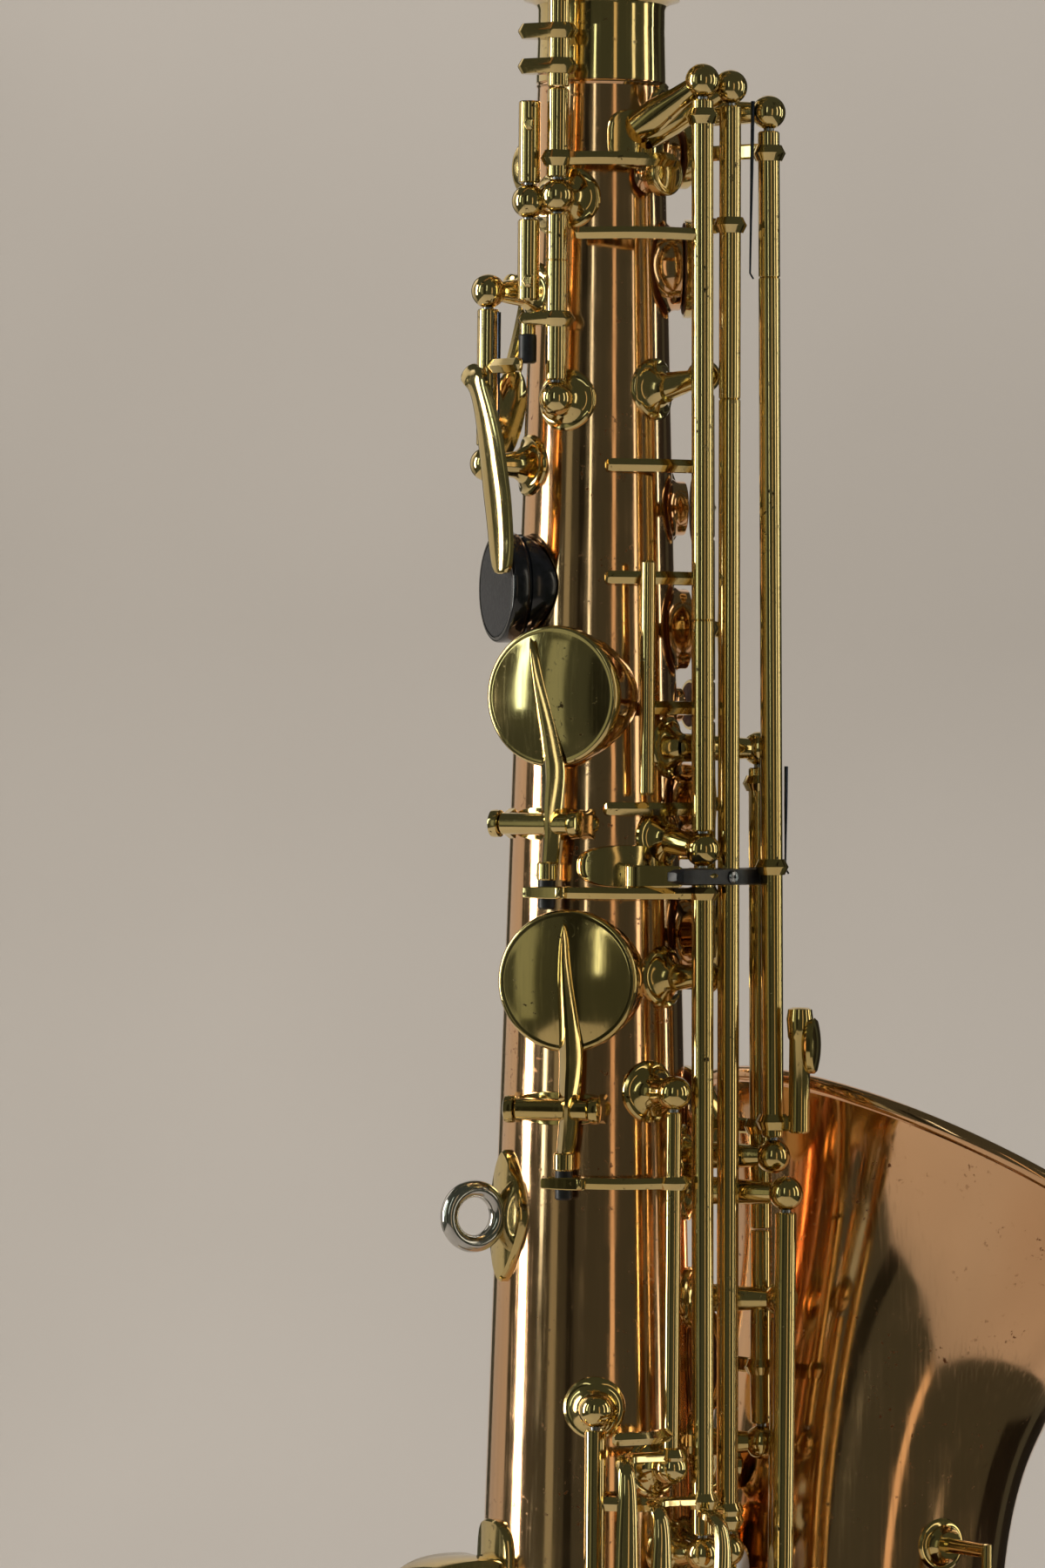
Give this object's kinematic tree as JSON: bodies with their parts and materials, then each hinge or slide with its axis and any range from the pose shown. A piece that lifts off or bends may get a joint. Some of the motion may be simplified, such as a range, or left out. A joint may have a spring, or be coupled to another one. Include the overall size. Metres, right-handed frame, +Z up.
{
  "type": "alto saxophone",
  "caption": "Alto saxophone: conical body, bow and flared bell with hinged key work on posts, and a curved neck with cork, mouthpiece, ligature and reed.",
  "frame": {"origin": "centre of the strap ring on the player side of the body tube", "axes": "+Z up the body tube towards the neck, +X from the body tube towards the bell, -Y the side of the side keys"},
  "size_m": [0.3454, 0.127, 0.6883],
  "materials": {
    "bronze_lacquer": "polished, pinkish clear lacquer",
    "brass_lacquer": "polished, clear lacquer",
    "nickel": "bright plated",
    "steel": "blued",
    "black_plastic": "satin black",
    "cork": "matt",
    "cane": "matt"
  },
  "bodies": {
    "instrument": {"body_tube": "bronze_lacquer", "bow": "bronze_lacquer", "bell": "bronze_lacquer", "body_bow_band": "brass_lacquer", "bell_bow_band": "brass_lacquer", "bell_brace": "brass_lacquer", "strap_ring": "nickel", "thumb_rest": "black_plastic", "thumb_hook": "brass_lacquer", "thumb_hook_screw": "steel", "rod_guide": "black_plastic", "rod_guide_bracket": "brass_lacquer", "bell_key_guard": "brass_lacquer", "low_c_sharp_guard": "brass_lacquer", "neck_receiver": "brass_lacquer", "side_c_saddle": "brass_lacquer", "side_b_flat_saddle": "brass_lacquer"},
    "neck": {"neck_tube": "bronze_lacquer", "neck_cork": "cork"},
    "mouthpiece": {"mouthpiece": "black_plastic", "reed": "cane", "ligature": "brass_lacquer"},
    "receiver_screw": {"receiver_screw": "brass_lacquer"},
    "side_c_cup_key": {"side_c_cup_key": "brass_lacquer"},
    "side_b_flat_cup_key": {"side_b_flat_cup_key": "brass_lacquer"},
    "palm_d_key": {"palm_d_key": "brass_lacquer"},
    "palm_e_flat_key": {"palm_e_flat_key": "brass_lacquer"},
    "palm_f_key": {"palm_f_key": "brass_lacquer"},
    "side_c_lever": {"side_c_lever": "brass_lacquer"},
    "side_b_flat_lever": {"side_b_flat_lever": "brass_lacquer"},
    "high_e_key": {"high_e_key": "brass_lacquer"},
    "high_f_sharp_key": {"high_f_sharp_key": "brass_lacquer"},
    "octave_transfer_rod": {"octave_transfer_rod": "brass_lacquer"},
    "octave_lever": {"octave_lever": "brass_lacquer"},
    "octave_rocker": {"octave_rocker": "brass_lacquer"},
    "octave_link": {"octave_link": "brass_lacquer"},
    "octave_balance_lever": {"octave_balance_lever": "brass_lacquer"},
    "body_octave_key": {"body_octave_key": "brass_lacquer"},
    "neck_octave_actuator": {"neck_octave_actuator": "brass_lacquer"},
    "c_vent_key": {"c_vent_key": "brass_lacquer"},
    "b_key": {"b_key": "brass_lacquer"},
    "bis_key": {"bis_key": "brass_lacquer"},
    "a_key": {"a_key": "brass_lacquer"},
    "g_key": {"g_key": "brass_lacquer"},
    "f_key": {"f_key": "brass_lacquer"},
    "e_key": {"e_key": "brass_lacquer"},
    "d_key": {"d_key": "brass_lacquer"},
    "g_sharp_key": {"g_sharp_key": "brass_lacquer"},
    "f_sharp_cup_key": {"f_sharp_cup_key": "brass_lacquer"},
    "e_flat_key": {"e_flat_key": "brass_lacquer"},
    "low_c_key": {"low_c_key": "brass_lacquer"},
    "low_b_key": {"low_b_key": "brass_lacquer"},
    "low_b_flat_key": {"low_b_flat_key": "brass_lacquer"},
    "low_c_sharp_key": {"low_c_sharp_key": "brass_lacquer"},
    "g_sharp_lever": {"g_sharp_lever": "brass_lacquer"},
    "low_b_lever": {"low_b_lever": "brass_lacquer"},
    "low_b_flat_lever": {"low_b_flat_lever": "brass_lacquer"},
    "alt_f_sharp_key": {"alt_f_sharp_key": "brass_lacquer"},
    "neck_octave_key": {"neck_octave_key": "brass_lacquer"}
  },
  "joints": [
    {"name": "side_c_cup_key_hinge", "type": "hinge", "parent": "instrument", "child": "side_c_cup_key", "pos_m": [0.00764, -0.01592, 0.08443], "axis": [0.5373, -0.8434, 0], "range_deg": [0, 8]},
    {"name": "side_b_flat_cup_key_hinge", "type": "hinge", "parent": "instrument", "child": "side_b_flat_cup_key", "pos_m": [0.00931, -0.0209, 0.02358], "axis": [0.6884, -0.7254, 0], "range_deg": [0, 8]},
    {"name": "palm_d_key_hinge", "type": "hinge", "parent": "instrument", "child": "palm_d_key", "pos_m": [0.03531, 0.01918, 0.16319], "axis": [-0.9563, 0.2924, 0], "range_deg": [0, 8], "stiffness_Nm_per_rad": 0.02, "springref_deg": -20.05},
    {"name": "palm_e_flat_key_hinge", "type": "hinge", "parent": "instrument", "child": "palm_e_flat_key", "pos_m": [0.0477, 0.00892, 0.1802], "axis": [-0.515, 0.8572, 0], "range_deg": [0, 8], "stiffness_Nm_per_rad": 0.02, "springref_deg": -20.05},
    {"name": "palm_f_key_hinge", "type": "hinge", "parent": "instrument", "child": "palm_f_key", "pos_m": [0.02493, 0.01874, 0.20135], "axis": [-0.9848, -0.1736, 0], "range_deg": [0, 8], "stiffness_Nm_per_rad": 0.02, "springref_deg": -20.05},
    {"name": "side_c_lever_hinge", "type": "hinge", "parent": "instrument", "child": "side_c_lever", "pos_m": [0.03729, -0.03254, 0], "axis": [-0.0031, 0.0107, 0.9999], "range_deg": [-4, 0], "stiffness_Nm_per_rad": 0.02, "springref_deg": 20.05},
    {"name": "side_b_flat_lever_hinge", "type": "hinge", "parent": "instrument", "child": "side_b_flat_lever", "pos_m": [0.03067, -0.03095, 0], "axis": [0, 0, 1], "range_deg": [-5.8, 0], "stiffness_Nm_per_rad": 0.02, "springref_deg": 20.05},
    {"name": "high_e_key_hinge", "type": "hinge", "parent": "instrument", "child": "high_e_key", "pos_m": [0.04538, -0.0303, 0], "axis": [-0.0035, 0.0058, 1], "range_deg": [-8, 0], "stiffness_Nm_per_rad": 0.02, "springref_deg": 20.05},
    {"name": "high_f_sharp_key_hinge", "type": "hinge", "parent": "instrument", "child": "high_f_sharp_key", "pos_m": [0.05635, -0.03166, 0], "axis": [-0.0089, 0.0094, 0.9999], "range_deg": [-8, 0], "stiffness_Nm_per_rad": 0.02, "springref_deg": 20.05},
    {"name": "octave_transfer_rod_hinge", "type": "hinge", "parent": "instrument", "child": "octave_transfer_rod", "pos_m": [0.03729, -0.03254, 0], "axis": [-0.0031, 0.0107, 0.9999], "range_deg": [-4, 4]},
    {"name": "octave_lever_hinge", "type": "hinge", "parent": "instrument", "child": "octave_lever", "pos_m": [0.00305, 0.00201, 0], "axis": [0, 0, 1], "range_deg": [0, 6], "stiffness_Nm_per_rad": 0.02, "springref_deg": -20.05},
    {"name": "octave_rocker_hinge", "type": "hinge", "parent": "instrument", "child": "octave_rocker", "pos_m": [0.00677, -0.00797, 0], "axis": [0, 0, 1], "range_deg": [-6, 0]},
    {"name": "octave_link_hinge", "type": "hinge", "parent": "instrument", "child": "octave_link", "pos_m": [0.00677, -0.00797, 0], "axis": [0, 0, 1], "range_deg": [-6, 0]},
    {"name": "octave_balance_lever_hinge", "type": "hinge", "parent": "instrument", "child": "octave_balance_lever", "pos_m": [0.0109, -0.01277, 0], "axis": [0, 0, 1], "range_deg": [-6, 0]},
    {"name": "body_octave_key_hinge", "type": "hinge", "parent": "instrument", "child": "body_octave_key", "pos_m": [0.0109, -0.01277, 0], "axis": [0, 0, 1], "range_deg": [-6, 0]},
    {"name": "neck_octave_actuator_hinge", "type": "hinge", "parent": "instrument", "child": "neck_octave_actuator", "pos_m": [0.0109, -0.01277, 0], "axis": [0, 0, 1], "range_deg": [0, 6], "stiffness_Nm_per_rad": 0.02, "springref_deg": -20.05},
    {"name": "c_vent_key_hinge", "type": "hinge", "parent": "instrument", "child": "c_vent_key", "pos_m": [0.043, -0.02542, 0], "axis": [-0.0064, 0.0102, 0.9999], "range_deg": [0, 5], "stiffness_Nm_per_rad": 0.02, "springref_deg": -20.05},
    {"name": "b_key_hinge", "type": "hinge", "parent": "instrument", "child": "b_key", "pos_m": [0.043, -0.02542, 0], "axis": [-0.0064, 0.0102, 0.9999], "range_deg": [0, 5], "stiffness_Nm_per_rad": 0.02, "springref_deg": -20.05},
    {"name": "bis_key_hinge", "type": "hinge", "parent": "instrument", "child": "bis_key", "pos_m": [0.043, -0.02542, 0], "axis": [-0.0064, 0.0102, 0.9999], "range_deg": [0, 5], "stiffness_Nm_per_rad": 0.02, "springref_deg": -20.05},
    {"name": "a_key_hinge", "type": "hinge", "parent": "instrument", "child": "a_key", "pos_m": [0.043, -0.02542, 0], "axis": [-0.0064, 0.0102, 0.9999], "range_deg": [0, 5], "stiffness_Nm_per_rad": 0.02, "springref_deg": -20.05},
    {"name": "g_key_hinge", "type": "hinge", "parent": "instrument", "child": "g_key", "pos_m": [0.043, -0.02542, 0], "axis": [-0.0064, 0.0102, 0.9999], "range_deg": [0, 5], "stiffness_Nm_per_rad": 0.02, "springref_deg": -20.05},
    {"name": "f_key_hinge", "type": "hinge", "parent": "instrument", "child": "f_key", "pos_m": [0.04563, -0.03071, 0], "axis": [0, 0, 1], "range_deg": [0, 5.5], "stiffness_Nm_per_rad": 0.02, "springref_deg": -20.05},
    {"name": "e_key_hinge", "type": "hinge", "parent": "instrument", "child": "e_key", "pos_m": [0.04563, -0.03071, 0], "axis": [0, 0, 1], "range_deg": [0, 5.5], "stiffness_Nm_per_rad": 0.02, "springref_deg": -20.05},
    {"name": "d_key_hinge", "type": "hinge", "parent": "instrument", "child": "d_key", "pos_m": [0.04563, -0.03071, 0], "axis": [0, 0, 1], "range_deg": [0, 5.5], "stiffness_Nm_per_rad": 0.02, "springref_deg": -20.05},
    {"name": "g_sharp_key_hinge", "type": "hinge", "parent": "instrument", "child": "g_sharp_key", "pos_m": [0.05946, -0.0225, 0], "axis": [-0.0097, 0.0063, 0.9999], "range_deg": [-6, 0]},
    {"name": "f_sharp_cup_key_hinge", "type": "hinge", "parent": "instrument", "child": "f_sharp_cup_key", "pos_m": [0.05946, -0.0225, 0], "axis": [-0.0097, 0.0063, 0.9999], "range_deg": [0, 6]},
    {"name": "e_flat_key_hinge", "type": "hinge", "parent": "instrument", "child": "e_flat_key", "pos_m": [0.04563, -0.03071, 0], "axis": [0, 0, 1], "range_deg": [0, 7], "stiffness_Nm_per_rad": 0.02, "springref_deg": -20.05},
    {"name": "low_c_key_hinge", "type": "hinge", "parent": "instrument", "child": "low_c_key", "pos_m": [0.05575, -0.03715, 0], "axis": [0, 0, 1], "range_deg": [-5, 0], "stiffness_Nm_per_rad": 0.02, "springref_deg": 20.05},
    {"name": "low_b_key_hinge", "type": "hinge", "parent": "instrument", "child": "low_b_key", "pos_m": [0.05575, -0.03715, 0], "axis": [0, 0, 1], "range_deg": [0, 6]},
    {"name": "low_b_flat_key_hinge", "type": "hinge", "parent": "instrument", "child": "low_b_flat_key", "pos_m": [0.06035, -0.02908, 0], "axis": [0, 0, 1], "range_deg": [0, 6]},
    {"name": "low_c_sharp_key_hinge", "type": "hinge", "parent": "instrument", "child": "low_c_sharp_key", "pos_m": [0.06469, 0.03048, 0], "axis": [0, 0, 1], "range_deg": [0, 6], "stiffness_Nm_per_rad": 0.02, "springref_deg": -20.05},
    {"name": "g_sharp_lever_hinge", "type": "hinge", "parent": "instrument", "child": "g_sharp_lever", "pos_m": [0.05869, 0.01345, 0], "axis": [0, 0, 1], "range_deg": [0, 6], "stiffness_Nm_per_rad": 0.02, "springref_deg": -20.05},
    {"name": "low_b_lever_hinge", "type": "hinge", "parent": "instrument", "child": "low_b_lever", "pos_m": [0.05869, 0.01345, 0], "axis": [0, 0, 1], "range_deg": [0, 6], "stiffness_Nm_per_rad": 0.02, "springref_deg": -20.05},
    {"name": "low_b_flat_lever_hinge", "type": "hinge", "parent": "instrument", "child": "low_b_flat_lever", "pos_m": [0.05869, 0.01345, 0], "axis": [0, 0, 1], "range_deg": [0, 6], "stiffness_Nm_per_rad": 0.02, "springref_deg": -20.05},
    {"name": "alt_f_sharp_key_hinge", "type": "hinge", "parent": "instrument", "child": "alt_f_sharp_key", "pos_m": [0.01424, -0.02654, 0], "axis": [0, 0, 1], "range_deg": [-6, 0], "stiffness_Nm_per_rad": 0.02, "springref_deg": 20.05},
    {"name": "neck_octave_key_hinge", "type": "hinge", "parent": "neck", "child": "neck_octave_key", "pos_m": [0.00788, -0.00251, 0.35697], "axis": [0, 1, 0], "range_deg": [0, 5]},
    {"name": "neck_swivel", "type": "hinge", "parent": "instrument", "child": "neck", "pos_m": [0.02868, -0.00251, 0.27221], "axis": [0, 0, 1], "range_deg": [-15, 15]},
    {"name": "mouthpiece_slide", "type": "slide", "parent": "neck", "child": "mouthpiece", "axis": [-0.9744, 0, -0.225], "range_m": [-0.006, 0.012]},
    {"name": "receiver_screw_turn", "type": "hinge", "parent": "instrument", "child": "receiver_screw", "pos_m": [0.00818, -0.00251, 0.27909], "axis": [0, 1, 0], "range_deg": [-90, 90]}
  ],
  "couplings": [
    {"joint": "side_c_cup_key_hinge", "follows": "side_c_lever_hinge", "ratio": -2},
    {"joint": "side_b_flat_cup_key_hinge", "follows": "side_b_flat_lever_hinge", "ratio": -1.379},
    {"joint": "octave_rocker_hinge", "follows": "octave_lever_hinge", "ratio": -1},
    {"joint": "octave_balance_lever_hinge", "follows": "octave_lever_hinge", "ratio": -1},
    {"joint": "body_octave_key_hinge", "follows": "octave_lever_hinge", "ratio": -1},
    {"joint": "neck_octave_key_hinge", "follows": "neck_octave_actuator_hinge", "ratio": 0.8},
    {"joint": "octave_link_hinge", "follows": "neck_octave_actuator_hinge", "ratio": -1},
    {"joint": "f_sharp_cup_key_hinge", "follows": "f_key_hinge", "ratio": 1.0909},
    {"joint": "octave_transfer_rod_hinge", "follows": "g_key_hinge", "ratio": -0.8},
    {"joint": "g_sharp_key_hinge", "follows": "g_sharp_lever_hinge", "ratio": -1},
    {"joint": "low_b_key_hinge", "follows": "low_b_lever_hinge", "ratio": 1},
    {"joint": "low_b_flat_key_hinge", "follows": "low_b_flat_lever_hinge", "ratio": 1}
  ]
}
